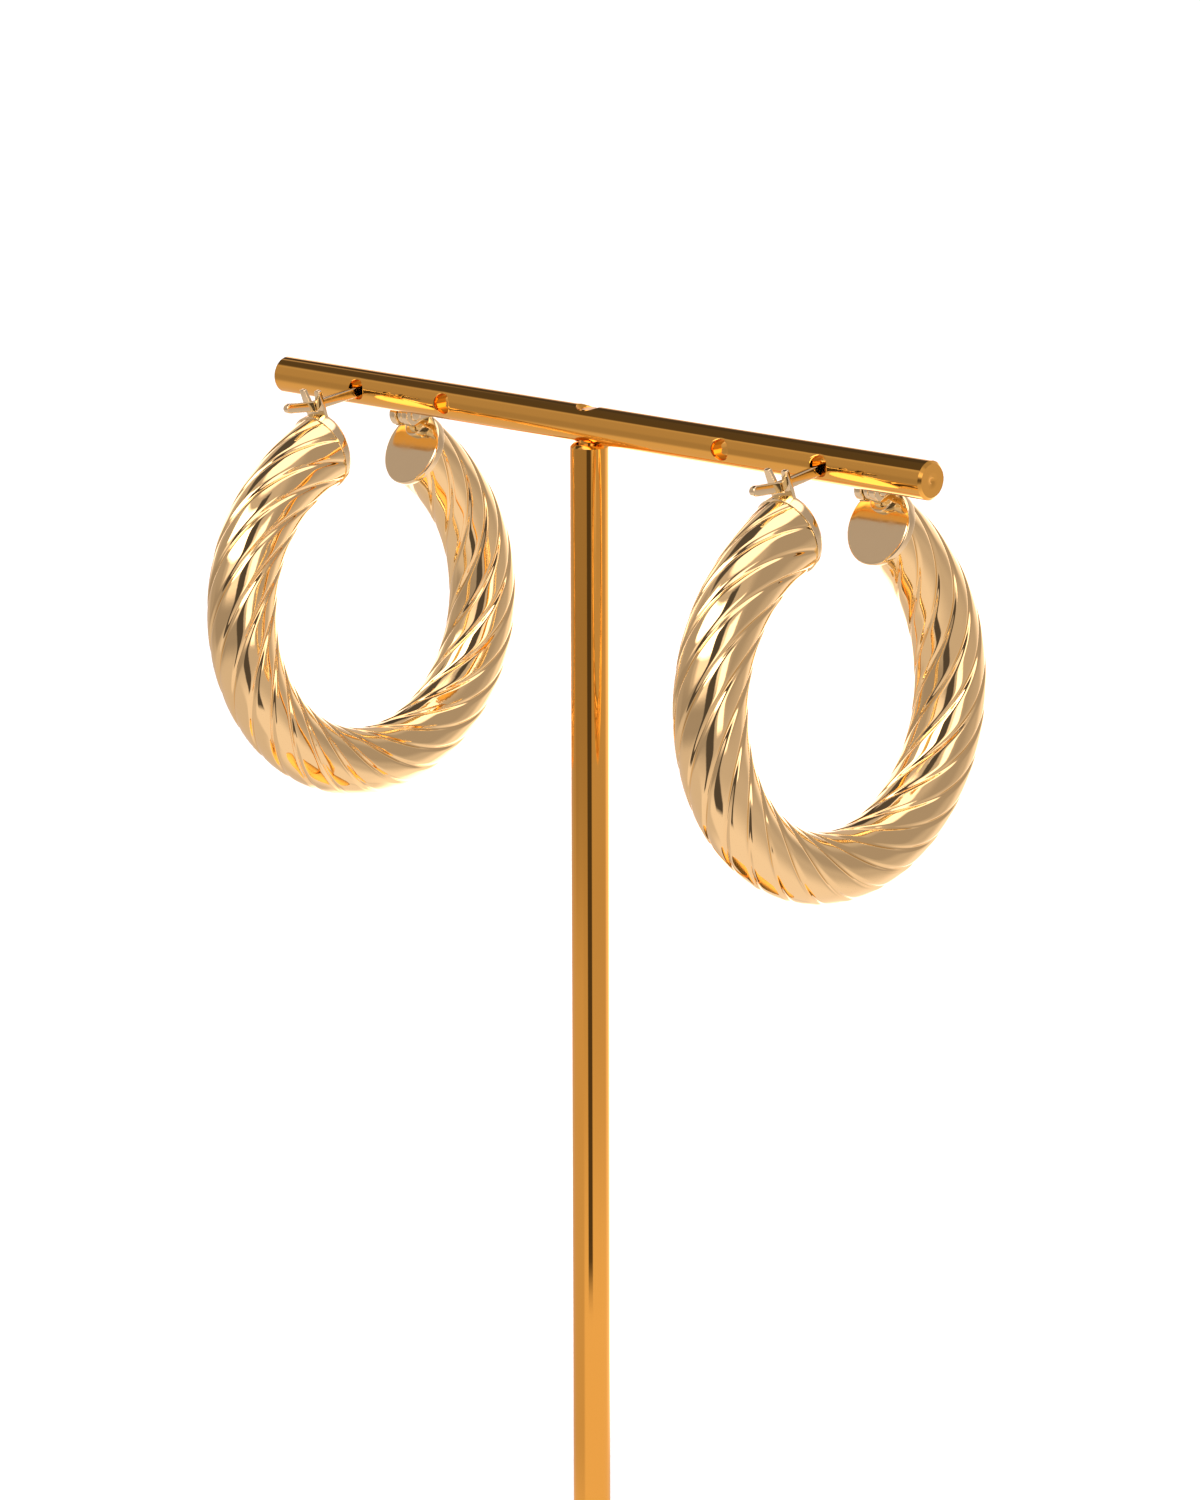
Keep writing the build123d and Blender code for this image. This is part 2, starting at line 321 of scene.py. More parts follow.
footGold = goldFinish("footGold", {
    "tone": {"Metal": (0.95, 0.55, 0.14, 1), "Pale": (0.96, 0.60, 0.18, 1), "Patch Scale": 40.0},
    "marks": {"Smear Scale": 120.0, "Line Scale": 3000.0, "Line Stretch": (1.0, 0.02, 1.0)},
    "roughness": (0.2, 0.27), "lineShare": 0.3, "skinDepth": 0.002,
    "skin": {"Wave Scale": 120.0, "Pit Scale": 1500.0, "Pit Share": 0.1}})
print("finishes made")


# the hoop, drawn with its centre at the origin and in the YZ plane; angles run from the top towards the catch

hoopShape = {"acrossHoop": 45.0, "acrossTube": 7.9, "gapAngle": 46.0, "lobes": 9, "twistArc": 131.4,
             "lobeDrop": 0.05, "grooveCut": 0.19, "grooveWidth": 0.21, "shadeWidth": 0.22, "fadeArc": 6.0,
             "fadeLeft": 0.7, "swellArc": 26.0, "swell": 0.28, "swellLift": 0.42, "rows": 280,
             "columnsPerLobe": 28}
tubeRadius = hoopShape["acrossTube"] / 2
ringRadius = hoopShape["acrossHoop"] / 2 - tubeRadius
halfGap = hoopShape["gapAngle"] / 2
acrossHoop = np.array([1.0, 0.0, 0.0])


def outwards(angle):
    # from the hoop's centre to the tube's centre line at this angle
    a = np.radians(angle)
    return np.stack([np.zeros_like(a), -np.sin(a), np.cos(a)], -1)


def endFrame(side):
    # the tube's end at the catch (1) or the hinge (-1): z out of the tube into the gap, y outwards
    a = np.radians(side * halfGap)
    return axesAt(outwards(side * halfGap) * ringRadius, (-side, 0, 0), outwards(side * halfGap),
                  (0, side * np.cos(a), side * np.sin(a)))


def twistedTube(shape, grooveTurn):
    # at angle a round the hoop and turn t round the tube, a point is the centre line's point plus
    # r (cos t across + sin t outwards), where t runs on with a so that the lobes wind, and r is a shallow
    # arc over each lobe, less a narrow cut, exp(-(e / width) squared), at a distance e from its edge; towards
    # the ends the tube swells and rises a little, by the square of its share of the swelling arc
    a = np.linspace(halfGap, 360 - halfGap, shape["rows"])
    w = np.arange(shape["columnsPerLobe"]) * 2 / shape["columnsPerLobe"] - 1
    u = np.tile(np.sin(np.pi / 2 * w), shape["lobes"])
    lobe = np.repeat(np.arange(shape["lobes"]), shape["columnsPerLobe"])
    half = 180 / shape["lobes"]
    valley = tubeRadius - shape["lobeDrop"]
    c = (tubeRadius ** 2 - valley ** 2) / (2 * (tubeRadius - valley * np.cos(np.radians(half))))
    aside = np.radians(half * u)
    lobeArc = c * np.cos(aside) + np.sqrt((tubeRadius - c) ** 2 - (c * np.sin(aside)) ** 2)
    near = 1 - np.abs(u)
    drop = tubeRadius - lobeArc + shape["grooveCut"] * np.exp(-(near / shape["grooveWidth"]) ** 2)
    toEnd = np.minimum(a - halfGap, 360 - halfGap - a)
    rise = shape["fadeLeft"] + (1 - shape["fadeLeft"]) * np.clip(toEnd / shape["fadeArc"], 0, 1)
    share = (1 - np.clip(toEnd / shape["swellArc"], 0, 1)) ** 2
    r = tubeRadius + shape["swell"] * share[:, None] - rise[:, None] * drop
    t = np.radians(grooveTurn + 360 * a[:, None] / shape["twistArc"] + 2 * half * (lobe + 0.5) + half * u)
    out = outwards(a)[:, None]
    spoke = np.cos(t)[..., None] * acrossHoop + np.sin(t)[..., None] * out
    points = out * (ringRadius + shape["swellLift"] * share[:, None, None]) + r[..., None] * spoke
    # painted shade: 1 at a groove's bottom, fading over the shade width and towards the tube's ends
    groove = rise[:, None] * np.exp(-(near / shape["shadeWidth"]) ** 2)[None]
    return (points, True, True), groove


collarShape = {"length": 0.9, "rim": 0.42, "edge": 0.3, "overlap": 0.05, "lift": 0.45, "catchTilt": 8.0,
               "backRing": 2.5, "backEdge": 0.05, "faceRings": (3.2, 2.2, 1.1, 0.0)}


def collarPatch(shape, tilt):
    # a turned ring with a flat face and rounded edges, closed to the middle at both ends; the face leans by
    # y tan(tilt), the more the nearer a point is to it
    radius, length = tubeRadius + shape["rim"], shape["length"]
    back, edge, backEdge = -shape["overlap"], shape["edge"], shape["backEdge"]
    profile = [(0, back), (shape["backRing"], back)]
    profile += quarter((radius - backEdge, back + backEdge), backEdge, -90, 0, 4)
    profile += quarter((radius - edge, length - edge), edge, 0, 90, 8)
    profile += [(ring, length) for ring in shape["faceRings"]]
    grid, closed, capped = turned(profile, 96)
    share = np.clip(grid[..., 2] / length, 0, 1)
    grid[..., 2] += share * grid[..., 1] * np.tan(np.radians(tilt))
    grid[..., 1] += shape["lift"]
    return grid, closed, capped


# the ear post, whose straight arm falls towards the catch, the bar that it hangs through, the catch and the hinge
earPost = {"thickness": 0.75, "height": 1.1, "slope": 14.0, "tipSlope": 3.0, "tipLength": 3.4, "tipSteps": 9,
           "tipStart": 4.0, "beforeBend": 2.0, "bendReach": 0.5, "catchToBend": 0.25, "pastBar": 1.0,
           "pastPin": 0.7, "eye": 2.3, "offset": -0.85, "rise": 2.17, "edge": 0.12}
barShape = {"across": 4.2, "length": 98.6, "chamfer": 0.3, "innerHoles": 42.5, "outerHoles": 70.6, "hole": 2.3,
            "lip": 0.12, "markAcross": 0.7, "markDepth": 0.25, "markEdge": 0.05, "markStep": 0.02,
            "markRing": 0.6}
catchShape = {"width": 3.1, "thickness": 0.45, "height": 3.7, "flare": 0.15, "tip": 0.85, "notch": 1.5,
              "gap": 0.12, "forward": 0.75}
hingeShape = {"reach": 2.3, "drop": 0.3, "radius": 1.35, "footReach": 2.25, "footThickness": 0.7,
              "footSunk": 0.2, "footRise": 0.2, "earRoot": 0.1, "edge": 0.12, "slotGap": 0.15, "pin": 0.8,
              "pinEnd": 0.15, "runningGap": 0.05, "head": 0.72, "headEdge": 0.14, "dome": 0.06}


def flat(v):
    # where a point lies in the YZ plane
    return np.array([v[1], v[2]], float)


def slopeWay(degrees):
    # (cos t, sin t) in the YZ plane, towards the hinge and up
    return np.array([np.cos(np.radians(degrees)), np.sin(np.radians(degrees))])


armWay = slopeWay(earPost["slope"])
armMiddle = np.array([earPost["offset"], hoopShape["acrossHoop"] / 2 + earPost["rise"]])
catchPlace = endFrame(1) @ shift(0, 0, collarShape["length"] / 2 + catchShape["forward"])
catchOrigin, catchNormal = flat(catchPlace[:3, 3]), flat(catchPlace[:3, 2])
armToCatch = (catchOrigin - armMiddle) @ catchNormal / (armWay @ catchNormal)
armHeight = np.linalg.norm(armMiddle + armWay * armToCatch - catchOrigin)
pinReach = collarShape["length"] + hingeShape["reach"]
pinHeight = tubeRadius - hingeShape["drop"]
pinCentre = flat((endFrame(-1) @ np.array([0, pinHeight, pinReach, 1]))[:3])


def catchPatch(shape):
    # an upright plate with an open slot between two flared prongs
    half, foot, tip = shape["width"] / 2, tubeRadius - collarShape["length"], tubeRadius + shape["height"]
    slot, outer = earPost["thickness"] / 2 + shape["gap"], half + shape["flare"]
    floor = armHeight - earPost["height"] / 2 - shape["gap"]
    right = [(half, foot), (half, tubeRadius), (outer, tip), (outer - shape["tip"], tip),
             (slot, tip - shape["notch"]), (slot, floor)]
    left = [(-x, y) for x, y in reversed(right)]
    cut = [0.1, 0.5, 0.2, 0.2, 0.3, 0.25]
    outline = softened(right + left, cut + cut[::-1])
    return put(plate(outline, -shape["thickness"] / 2, shape["thickness"] / 2), catchPlace)


def clevisPatches(shape):
    # a foot with a round lower end, and two ears for the pin, each a straight bar ending in a circle, whose
    # lower edge meets the circle half a radius below the pin
    back = endFrame(-1)
    half = catchShape["width"] / 2
    front = collarShape["length"] + shape["footThickness"]
    low, top = tubeRadius - shape["footReach"] + half, pinHeight + shape["radius"]
    foot = quarter((0, low), half, 180, 360, 24)
    foot += [(half, low + shape["footRise"]), (-half, low + shape["footRise"])]
    patches = [put(plate(foot, collarShape["length"] - shape["footSunk"], front, shape["edge"]), back)]
    bottom = np.degrees(np.arcsin(0.5))
    ear = quarter((pinReach, pinHeight), shape["radius"], -180 + bottom, 90, 30)
    root = collarShape["length"] + shape["earRoot"]
    ear += [(root, top), (root, pinHeight - shape["radius"] / 2)]
    sideView = back @ axesAt((0, 0, 0), (0, 0, 1), (0, 1, 0), (-1, 0, 0))
    slot = earPost["thickness"] / 2 + shape["slotGap"]
    for low, high in ((slot, half), (-half, -slot)):
        patches.append(put(plate(ear, low, high, shape["edge"]), sideView))
    return patches


def alongStrip(path, height, thickness, edge):
    # a rounded rectangle carried along a path in the YZ plane: a point is the path's, plus across times its
    # half thickness, plus the path's normal times its half height there
    t = np.radians(np.linspace(0, 90, 5))
    cornerX, cornerY = np.cos(t), np.sin(t)
    x = np.concatenate([cornerX, -cornerX[::-1], -cornerX, cornerX[::-1]])
    y = np.concatenate([cornerY, cornerY[::-1], -cornerY, -cornerY[::-1]])
    x = np.sign(x.round(6)) * (thickness / 2 - edge) + edge * x
    signs = np.repeat([1, 1, -1, -1], 5)
    way = np.gradient(path, axis=0)
    way /= np.linalg.norm(way, axis=1)[:, None]
    normal = np.stack([-way[:, 1], way[:, 0]], 1)
    edgeHere = np.minimum(edge, height / 2)
    rise = signs[None] * (height / 2 - edgeHere)[:, None] + edgeHere[:, None] * y[None]
    corners = path[:, None] + normal[:, None] * rise[..., None]
    return np.concatenate([np.broadcast_to(x[None, :, None], rise.shape + (1,)), corners], -1), True, True


def earPostPatches(shape):
    # a flat strip: a round tip, a bend at the catch, the straight arm, and a curl down to the eye
    tipWay = slopeWay(shape["tipSlope"])
    bend = armMiddle + armWay * (armToCatch - shape["catchToBend"] - catchShape["thickness"] / 2)
    tip = bend - tipWay * (shape["tipLength"] + shape["height"] / 2)
    armEnd = armMiddle + armWay * (barShape["across"] / 2 / armWay[0] + shape["pastBar"])
    toPin, inward = pinCentre - armEnd, np.array([armWay[1], -armWay[0]])
    radius = toPin @ toPin / (2 * (toPin @ inward))
    centre = armEnd + inward * radius
    fromArm, fromPin = armEnd - centre, pinCentre - centre
    start, stop = np.arctan2(fromArm[1], fromArm[0]), np.arctan2(fromPin[1], fromPin[0])
    stop += shape["pastPin"] / radius
    curl = np.linspace(start, stop, 30)[1:]
    tipTurn = np.radians(np.linspace(shape["tipStart"], 90, shape["tipSteps"]))
    tipRound = shape["height"] / 2 * (1 - np.cos(tipTurn))
    straight = [tip + tipWay * d for d in tipRound]
    straight += [bend - tipWay * d for d in (shape["beforeBend"], shape["bendReach"])]
    t = np.linspace(0, 1, 8)[1:, None]
    bendStart, bendEnd = bend - tipWay * shape["bendReach"], bend + armWay * shape["bendReach"]
    soft = (1 - t) ** 2 * bendStart + 2 * t * (1 - t) * bend + t ** 2 * bendEnd
    arm = [armEnd + (bendEnd - armEnd) * (1 - s) for s in np.linspace(0.1, 1, 8)]
    curve = centre + radius * np.stack([np.cos(curl), np.sin(curl)], 1)
    path = np.concatenate([straight, soft, arm, curve])
    height = np.full(len(path), shape["height"])
    height[:shape["tipSteps"]] = shape["height"] * np.sin(tipTurn) + 0.02
    strip = alongStrip(path, height, shape["thickness"], shape["edge"])
    inner, outer = hingeShape["pin"] / 2 + hingeShape["runningGap"], shape["eye"] / 2
    half, e = shape["thickness"] / 2, shape["edge"]
    ring = quarter((outer - e, half - e), e, 0, 90, 4) + quarter((inner + e, half - e), e, 90, 180, 4)
    ring += [(r, -z) for r, z in reversed(ring)]
    eye = put(turned(ring + ring[:1], 48), axesAt((0, *pinCentre), (0, 1, 0), (0, 0, 1), (1, 0, 0)))
    return [strip, eye]


def pinPatch(shape):
    # a turned rivet with a softly domed head at each end
    r, end = shape["pin"] / 2, catchShape["width"] / 2 + shape["pinEnd"]
    head, edge, dome, under = shape["head"], shape["headEdge"], shape["dome"], catchShape["width"] / 2 + 0.01
    half = [(0, end + dome), (head * 0.45, end + dome / 2)] + quarter((head - edge, end - 0.1), edge, 75, 0, 6)
    half += [(head, under), (r, under - 0.02)]
    profile = half + [(x, -z) for x, z in reversed(half)]
    return put(turned(profile, 40), axesAt((0, *pinCentre), (0, 1, 0), (0, 0, 1), (1, 0, 0)))


# how each earring hangs: turned in its own plane, leaning and twisted in its hole, and slid along it
hang = {"left": {"side": -1, "turn": -6.5, "lean": -4.0, "yaw": -2.0, "slide": -0.6, "grooveTurn": 3.0,
                 "hingeTilt": 2.5},
        "right": {"side": 1, "turn": -4.5, "lean": -4.0, "yaw": -2.2, "slide": 0.0, "grooveTurn": 38.1,
                  "hingeTilt": 4.0}}
postDrop = 0.08
for hand, way in hang.items():
    hole = shift(way["side"] * barShape["outerHoles"] / 2, way["slide"], barHeight - postDrop)
    place = (hole @ turn("Z", way["yaw"]) @ turn("Y", way["lean"]) @ turn("X", way["turn"])
             @ shift(0, -armMiddle[0], -armMiddle[1]))
    hoop, post, pin = f"{hand}_hoop", f"{hand}_ear_post", f"{hand}_hinge_pin"
    tubePatch, tubeGrooveShade = twistedTube(hoopShape, way["grooveTurn"])
    collars = [put(collarPatch(collarShape, collarShape["catchTilt"]), endFrame(1)),
               put(collarPatch(collarShape, way["hingeTilt"]), endFrame(-1))]
    pieceFrom(f"{hand}_twisted_tube", [tubePatch], hoopGold, hoop, hoop, place, 80, tubeGrooveShade)
    pieceFrom(f"{hand}_collars", collars, capGold, hoop, hoop, place)
    for name, patches, body, node, sharpAngle in (
            ("catch", [catchPatch(catchShape)], hoop, hoop, 40),
            ("hinge_ears", clevisPatches(hingeShape), hoop, hoop, 40),
            ("rivet", [pinPatch(hingeShape)], hoop, pin, 50),
            ("ear_wire", earPostPatches(earPost), "stand", post, 50)):
        pieceFrom(f"{hand}_{name}", patches, fittingGold, body, node, place, sharpAngle)
print("earrings made")


# the bar

spigotShape = {"across": 2.4, "gap": 0.05, "recess": 0.35, "chamfer": 0.2, "mouthAcross": 3.2, "mouthDepth": 0.5,
               "topLip": 0.04, "underLip": 0.05, "topRing": 0.5}
# the square patch of the bar round each hole, and the steps of its grid
zone = {"halfWidth": 2.1, "alongSteps": 8, "roundSteps": 16, "rings": 7, "plainStep": 1.2}


def onBar(x, around):
    # the bar's surface: x along it, and (R cos t, R sin t) round it
    r = barShape["across"] / 2
    return np.stack([x, r * np.cos(around), r * np.sin(around)], -1)


def openingPatches(x, quadrant, radiusAt, lip):
    # the surface round a hole: rings that pass from the hole's circle, seen along its axis, to a square border
    # on the bar, after a lip that sinks by lip (1 - sin t) as it turns into the hole
    r = barShape["across"] / 2
    m, n, w = zone["alongSteps"], zone["roundSteps"], zone["halfWidth"]
    s, q = np.linspace(-w, w, m + 1), np.linspace(-np.pi / 4, np.pi / 4, n + 1)
    borderX = np.concatenate([s[:-1], np.full(n, w), s[:0:-1], np.full(n, -w)])
    borderTurn = np.concatenate([np.full(m, q[0]), q[:-1], np.full(m, q[-1]), q[:0:-1]])
    t = np.arctan2(r * np.sin(borderTurn), borderX)
    hole = radiusAt(t)
    edge = np.radians([0, 30, 60, 90])
    rims = [(hole + lip * (1 - np.cos(e)), lip * (1 - np.sin(e))) for e in edge]
    aside = [(x + a * np.cos(t), np.arcsin(a * np.sin(t) / r), d) for a, d in rims]
    outerX, outerTurn = aside[-1][:2]
    for k in np.linspace(0, 1, zone["rings"])[1:]:
        aside.append((outerX + (x + borderX - outerX) * k, outerTurn + (borderTurn - outerTurn) * k, 0 * t))
    rows = [np.stack([along, r * np.cos(around) - sunk, r * np.sin(around)], -1) for along, around, sunk in aside]
    rolled = turn("X", 90 * quadrant)[:3, :3]
    return (np.stack(rows) @ rolled.T, True, False), rows[0] @ rolled.T


def barPatches(shape):
    # plain quarters of the bar's round, with a patch for each opening, the openings' walls and the two ends
    r, half, c = shape["across"] / 2, shape["length"] / 2, shape["chamfer"]
    holes = sorted(side * shape[name] / 2 for side in (-1, 1) for name in ("innerHoles", "outerHoles"))
    stops = sorted(holes + [0.0])
    w = zone["halfWidth"]
    edges = [c - half] + [stop + side * w for stop in stops for side in (-1, 1)] + [half - c]
    patches = []
    q = np.linspace(-np.pi / 4, np.pi / 4, zone["roundSteps"] + 1)
    for index, (low, high) in enumerate(zip(edges[:-1], edges[1:])):
        overHole = index % 2 == 1
        stop = (low + high) / 2
        steps = zone["alongSteps"] if overHole else max(2, round((high - low) / zone["plainStep"]))
        x = np.linspace(low, high, steps + 1)
        for quadrant in range(4):
            across = quadrant % 2 == (1 if abs(stop) < w else 0)
            if overHole and across:
                continue
            gridX, gridTurn = np.meshgrid(x, q + quadrant * np.pi / 2, indexing="ij")
            patches.append((onBar(gridX, gridTurn), False, False))
    for stop in holes:  # the earring holes run across the bar, from front to back
        near, rim = openingPatches(stop, 0, lambda t: np.full_like(t, shape["hole"] / 2), shape["lip"])
        far = openingPatches(stop, 2, lambda t: np.full_like(t, shape["hole"] / 2), shape["lip"])[0]
        depths = np.linspace(1, -1, 9)[:, None, None]
        wall = rim[None] * np.array([1, 0, 1]) + depths * rim[None] * np.array([0, 1, 0])
        patches += [near, far, (wall, True, False)]
    bore = spigotShape["across"] / 2 + spigotShape["gap"]
    mouth, depth = spigotShape["mouthAcross"] / 2, spigotShape["mouthDepth"]

    def mouthAt(t):
        # where the countersink's cone meets the round of the bar, found by stepping
        radius = np.full_like(t, mouth)
        for _ in range(30):
            z = np.sqrt(r ** 2 - (radius * np.sin(t)) ** 2)
            radius = 0.5 * radius + 0.5 * (bore + (mouth - bore) * (z - (r - depth)) / depth)
        return radius

    top, rimTop = openingPatches(0.0, 1, mouthAt, spigotShape["topLip"])
    under = openingPatches(0.0, 3, lambda t: np.full_like(t, bore), spigotShape["underLip"])[0]
    way = rimTop[:, :2] / np.linalg.norm(rimTop[:, :2], axis=1)[:, None]
    throat = np.column_stack([way * bore, np.full(len(way), r - depth)])
    foot = np.column_stack([way * bore, -np.sqrt(r ** 2 - (bore * way[:, 1]) ** 2) + spigotShape["underLip"]])
    share = np.linspace(0, 1, 5)[:, None, None]
    patches += [top, under, (rimTop[None] * (1 - share) + throat[None] * share, True, False)]
    share = np.linspace(0, 1, 9)[:, None, None]
    patches.append((throat[None] * (1 - share) + foot[None] * share, True, False))
    mark, deep = shape["markAcross"] / 2, shape["markDepth"]
    profile = [(r, half - c), (r - c, half), (mark + shape["markRing"], half), (mark + shape["markEdge"], half),
               (mark, half - shape["markStep"]), (0, half - deep)]
    for side in (-1, 1):
        patches.append(put(turned(profile, 4 * zone["roundSteps"], 45.0),
                           axesAt((0, 0, 0), (0, 1, 0), (0, 0, 1), (side, 0, 0))))
    return patches


pieceFrom("polished_bar", barPatches(barShape), barGold, "stand", "cross_bar",
          shift(0, 0, barHeight), sharpAngle=30)
print("bar made")

# the upright and the base

uprightShape = {"across": 4.3, "chamfer": 0.35, "seatGap": 0.03}
baseShape = {"across": 76.0, "thickness": 4.0, "edge": 0.8, "chamfer": 0.3, "socketDepth": 2.8, "socketGap": 0.05,
             "socketLip": 0.15, "socketChamfer": 0.12}


def uprightPatch():
    # a turned rod with a soft chamfer at its shoulder and a spigot up through the bar
    r, c = uprightShape["across"] / 2, uprightShape["chamfer"]
    foot = baseShape["thickness"] - baseShape["socketDepth"] + uprightShape["seatGap"]
    shoulder = barHeight - barShape["across"] / 2 - uprightShape["seatGap"]
    end = barHeight + barShape["across"] / 2 - spigotShape["recess"]
    spigot, cut = spigotShape["across"] / 2, spigotShape["chamfer"]
    profile = [(0, foot), (r - c, foot), (r, foot + c)]
    profile += [(r, z) for z in np.linspace(foot + c, shoulder - c, 40)[1:-1]]
    profile += [(r, shoulder - c), (r - c * 0.55, shoulder - c * 0.35), (r - c, shoulder), (spigot, shoulder),
                (spigot, end - cut), (spigot - cut, end), (spigotShape["topRing"], end), (0, end)]
    return turned(profile, 96)


def basePatch(shape):
    # a turned disc with a rounded upper edge, and a blind socket for the upright
    r, h, e, c = shape["across"] / 2, shape["thickness"], shape["edge"], shape["chamfer"]
    socket = uprightShape["across"] / 2 + shape["socketGap"]
    profile = [(0, 0), (r * 0.5, 0), (r - c, 0), (r, c)] + quarter((r - e, h - e), e, 0, 90, 9)
    profile += [(x, h) for x in np.linspace(r - e, socket + shape["socketLip"], 16)[1:]]
    profile += [(socket, h - shape["socketChamfer"]), (socket, h - shape["socketDepth"]),
                (0, h - shape["socketDepth"])]
    return turned(profile, 160)


pieceFrom("upright", [uprightPatch()], standGold, "stand", "stand_post", sharpAngle=25)
pieceFrom("round_foot", [basePatch(baseShape)], footGold, "stand", "stand_base", sharpAngle=25)
print("stand made")


# floor, light and camera

# the studio as seen from the earrings: each panel's middle and half sizes in degrees, where azimuth 0 is towards
# -Y and 90 towards +X, how softly it ends, and how bright it is; each panel lies over those before it
studioPanels = {
    "lowerSweep": {"azimuth": 0, "elevation": -66, "halfWide": 181, "halfHigh": 34, "soft": 14, "level": 0.98},
    "frontFloor": {"azimuth": -60, "elevation": -43, "halfWide": 60, "halfHigh": 22, "soft": 8, "level": 0.72},
    "backSweep": {"azimuth": -155, "elevation": -24, "halfWide": 34, "halfHigh": 30, "soft": 9, "level": 2.6},
    "backRight": {"azimuth": 168, "elevation": -24, "halfWide": 16, "halfHigh": 34, "soft": 12, "level": 1.15},
    "rightWall": {"azimuth": 124, "elevation": 36, "halfWide": 38, "halfHigh": 40, "soft": 10, "level": 0.44},
    "overhead": {"azimuth": 0, "elevation": 84, "halfWide": 181, "halfHigh": 20, "soft": 4, "level": 2.0},
    "frontFill": {"azimuth": 25, "elevation": 20, "halfWide": 38, "halfHigh": 12, "soft": 8, "level": 1.3},
    "leftWall": {"azimuth": -54, "elevation": 10, "halfWide": 26, "halfHigh": 26, "soft": 6, "level": 0.47},
    "keyPanel": {"azimuth": -7, "elevation": 38, "halfWide": 34, "halfHigh": 13, "soft": 3, "level": 4.6},
    "rightPanel": {"azimuth": 72, "elevation": 12, "halfWide": 10, "halfHigh": 20, "soft": 3, "level": 2.4},
    "leftPanel": {"azimuth": -113, "elevation": 9, "halfWide": 18, "halfHigh": 12, "soft": 4, "level": 2.1},
    "darkCeiling": {"azimuth": -96, "elevation": 56, "halfWide": 38, "halfHigh": 17, "soft": 2.5, "level": 0.10},
    "backBeam": {"azimuth": -127, "elevation": 34, "halfWide": 11, "halfHigh": 13, "soft": 3, "level": 0.07},
    "cameraSide": {"azimuth": -8, "elevation": -7, "halfWide": 46, "halfHigh": 11, "soft": 6, "level": 0.40},
    "cameraStand": {"azimuth": 39.5, "elevation": 8, "halfWide": 13, "halfHigh": 50, "soft": 2.5, "level": 0.09}}
studio = {"roomLevel": 0.62, "floorReach": 6.0, "floorColor": (0.90, 0.885, 0.88), "floorRoughness": 0.8,
          "floorSheen": 0.1, "paleSky": (0.97, 0.955, 0.95), "lampHeight": 0.125, "floorGlow": 0.20,
          "shineColor": (1.0, 0.805, 0.75)}


def stagePiece(name, points, faces, material):
    mesh = bpy.data.meshes.new(name)
    mesh.from_pydata(points, [], faces)
    mesh.shade_smooth()
    mesh.materials.append(material)
    thing = bpy.data.objects.new(name, mesh)
    bpy.context.scene.collection.objects.link(thing)
    return thing


def softStep(tree, value, edge, soft):
    # 1 inside the edge, 0 outside, with a smooth change over the softness on either side
    node = tree.nodes.new("ShaderNodeMapRange")
    node.interpolation_type = "SMOOTHSTEP"
    tree.links.new(value, node.inputs["Value"])
    node.inputs["From Min"].default_value, node.inputs["From Max"].default_value = edge + soft, edge - soft
    return node.outputs["Result"]


def makeStudioGlow(panels, roomLevel):
    # the studio's light in a direction, as the tint times its brightness: the direction's azimuth and elevation
    # are tested against every panel
    group, given, out = newGroup("studioGlow", [("Direction", "NodeSocketVector", (0.0, 0.0, 1.0)),
                                                ("Tint", "NodeSocketColor", (1.0, 1.0, 1.0, 1.0))],
                                 [("Glow", "NodeSocketColor")])
    unit = group.nodes.new("ShaderNodeVectorMath")
    unit.operation = "NORMALIZE"
    group.links.new(given.outputs["Direction"], unit.inputs[0])
    parts = group.nodes.new("ShaderNodeSeparateXYZ")
    group.links.new(unit.outputs[0], parts.inputs[0])
    across, back, up = parts.outputs
    front = mathNode(group, "MULTIPLY", back, -1.0)
    azimuth = mathNode(group, "DEGREES", mathNode(group, "ARCTAN2", across, front))
    elevation = mathNode(group, "DEGREES", mathNode(group, "ARCSINE", up))
    glow = roomLevel
    for name, panel in panels.items():
        aside = mathNode(group, "WRAP", mathNode(group, "SUBTRACT", azimuth, panel["azimuth"]), 180.0, -180.0)
        above = mathNode(group, "SUBTRACT", elevation, panel["elevation"])
        aside, above = mathNode(group, "ABSOLUTE", aside), mathNode(group, "ABSOLUTE", above)
        mask = mathNode(group, "MULTIPLY", softStep(group, aside, panel["halfWide"], panel["soft"]),
                        softStep(group, above, panel["halfHigh"], panel["soft"]))
        mix = group.nodes.new("ShaderNodeMix")
        mix.label = name
        feed(group, mask, mix.inputs["Factor"])
        feed(group, glow, mix.inputs["A"])
        feed(group, panel["level"], mix.inputs["B"])
        glow = mix.outputs["Result"]
    tinted = group.nodes.new("ShaderNodeVectorMath")
    tinted.operation = "SCALE"
    group.links.new(given.outputs["Tint"], tinted.inputs[0])
    group.links.new(glow, tinted.inputs["Scale"])
    group.links.new(tinted.outputs[0], out.inputs["Glow"])
    return group


studioGlow = makeStudioGlow(studioPanels, studio["roomLevel"])


def glowTowards(tree, direction, tint):
    node = tree.nodes.new("ShaderNodeGroup")
    node.node_tree = studioGlow
    node.inputs["Tint"].default_value = (*tint, 1)
    tree.links.new(direction, node.inputs["Direction"])
    return node.outputs["Glow"]


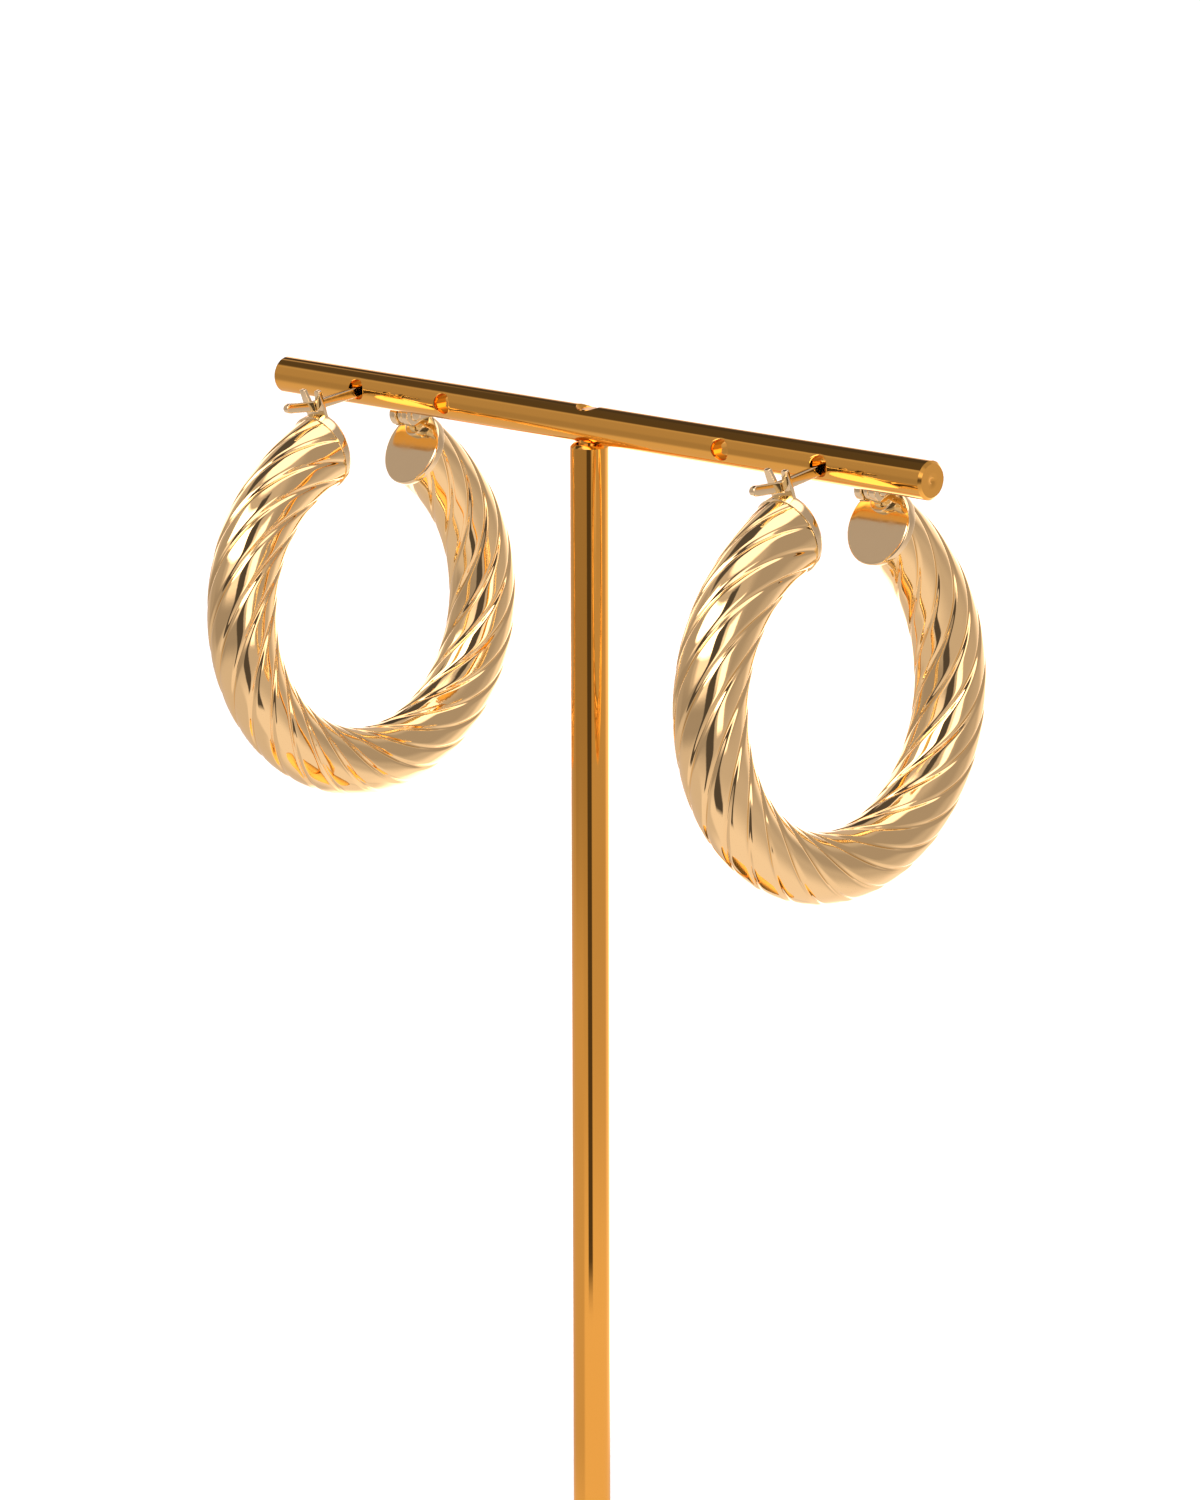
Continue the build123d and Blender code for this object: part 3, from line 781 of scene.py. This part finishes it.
def paleFloorPaint():
    # seen by the camera it is plain matt paper; in the metal's reflections it shines as the studio does there
    material = bpy.data.materials.new("paleFloor")
    material.use_nodes = True
    tree = material.node_tree
    shader = tree.nodes["Principled BSDF"]
    shader.inputs["Base Color"].default_value = (*studio["floorColor"], 1)
    shader.inputs["Roughness"].default_value = studio["floorRoughness"]
    shader.inputs["Specular IOR Level"].default_value = studio["floorSheen"]
    shader.inputs["Emission Color"].default_value = (*studio["paleSky"], 1)
    shader.inputs["Emission Strength"].default_value = studio["floorGlow"]
    place = tree.nodes.new("ShaderNodeTexCoord").outputs["Object"]
    lower = tree.nodes.new("ShaderNodeVectorMath")
    lower.operation = "SUBTRACT"
    tree.links.new(place, lower.inputs[0])
    lower.inputs[1].default_value = (0, 0, studio["lampHeight"])
    shine = tree.nodes.new("ShaderNodeEmission")
    tree.links.new(glowTowards(tree, lower.outputs[0], studio["shineColor"]), shine.inputs["Color"])
    mix = tree.nodes.new("ShaderNodeMixShader")
    tree.links.new(tree.nodes.new("ShaderNodeLightPath").outputs["Is Glossy Ray"], mix.inputs[0])
    tree.links.new(shader.outputs[0], mix.inputs[1])
    tree.links.new(shine.outputs[0], mix.inputs[2])
    tree.links.new(mix.outputs[0], tree.nodes["Material Output"].inputs["Surface"])
    return material


reach = studio["floorReach"]
stagePiece("floor", [(-reach, -reach, 0), (reach, -reach, 0), (reach, reach, 0), (-reach, reach, 0)],
           [(0, 1, 2, 3)], paleFloorPaint())


def makeWorld():
    # matt things are lit white, the metal mirrors the warmer shine, and the camera sees a plain pale sky
    world = bpy.data.worlds.new("studio")
    world.use_nodes = True
    tree = world.node_tree
    place = tree.nodes.new("ShaderNodeTexCoord").outputs["Generated"]
    lit, warm = tree.nodes["Background"], tree.nodes.new("ShaderNodeBackground")
    tree.links.new(glowTowards(tree, place, (1, 1, 1)), lit.inputs["Color"])
    tree.links.new(glowTowards(tree, place, studio["shineColor"]), warm.inputs["Color"])
    seen = tree.nodes.new("ShaderNodeBackground")
    seen.inputs["Color"].default_value = (*studio["paleSky"], 1)
    path = tree.nodes.new("ShaderNodeLightPath")
    last = lit.outputs[0]
    for ray, other in (("Is Glossy Ray", warm), ("Is Camera Ray", seen)):
        mix = tree.nodes.new("ShaderNodeMixShader")
        tree.links.new(path.outputs[ray], mix.inputs[0])
        tree.links.new(last, mix.inputs[1])
        tree.links.new(other.outputs[0], mix.inputs[2])
        last = mix.outputs[0]
    tree.links.new(last, tree.nodes["World Output"].inputs["Surface"])
    bpy.context.scene.world = world


makeWorld()

cameraView = {"azimuth": 43.732, "elevation": 13.851, "roll": -0.114, "distance": 0.5394, "lens": 117.232,
              "sensor": 36.0, "right": 0.0011717, "up": -0.035988, "near": 0.01, "far": 60}


def makeCamera(view):
    # looks back along the line from the bar's middle, and slides to the side and down in its own plane
    a, e, roll = np.radians([view["azimuth"], view["elevation"], view["roll"]])
    back = np.array([np.sin(a) * np.cos(e), -np.cos(a) * np.cos(e), np.sin(e)])
    right = np.array([np.cos(a), np.sin(a), 0])
    up = np.cross(back, right)
    right, up = np.cos(roll) * right + np.sin(roll) * up, np.cos(roll) * up - np.sin(roll) * right
    spot = np.array([0, 0, barHeight * mm]) + back * view["distance"] + right * view["right"] + up * view["up"]
    lens = bpy.data.cameras.new("camera")
    lens.lens, lens.sensor_width = view["lens"], view["sensor"]
    lens.clip_start, lens.clip_end = view["near"], view["far"]
    camera = bpy.data.objects.new("camera", lens)
    camera.matrix_world = Matrix(axesAt(spot, right, up, back).tolist())
    bpy.context.scene.collection.objects.link(camera)
    bpy.context.scene.camera = camera


makeCamera(cameraView)
bpy.context.scene.view_settings.view_transform = "Standard"
print("studio made")
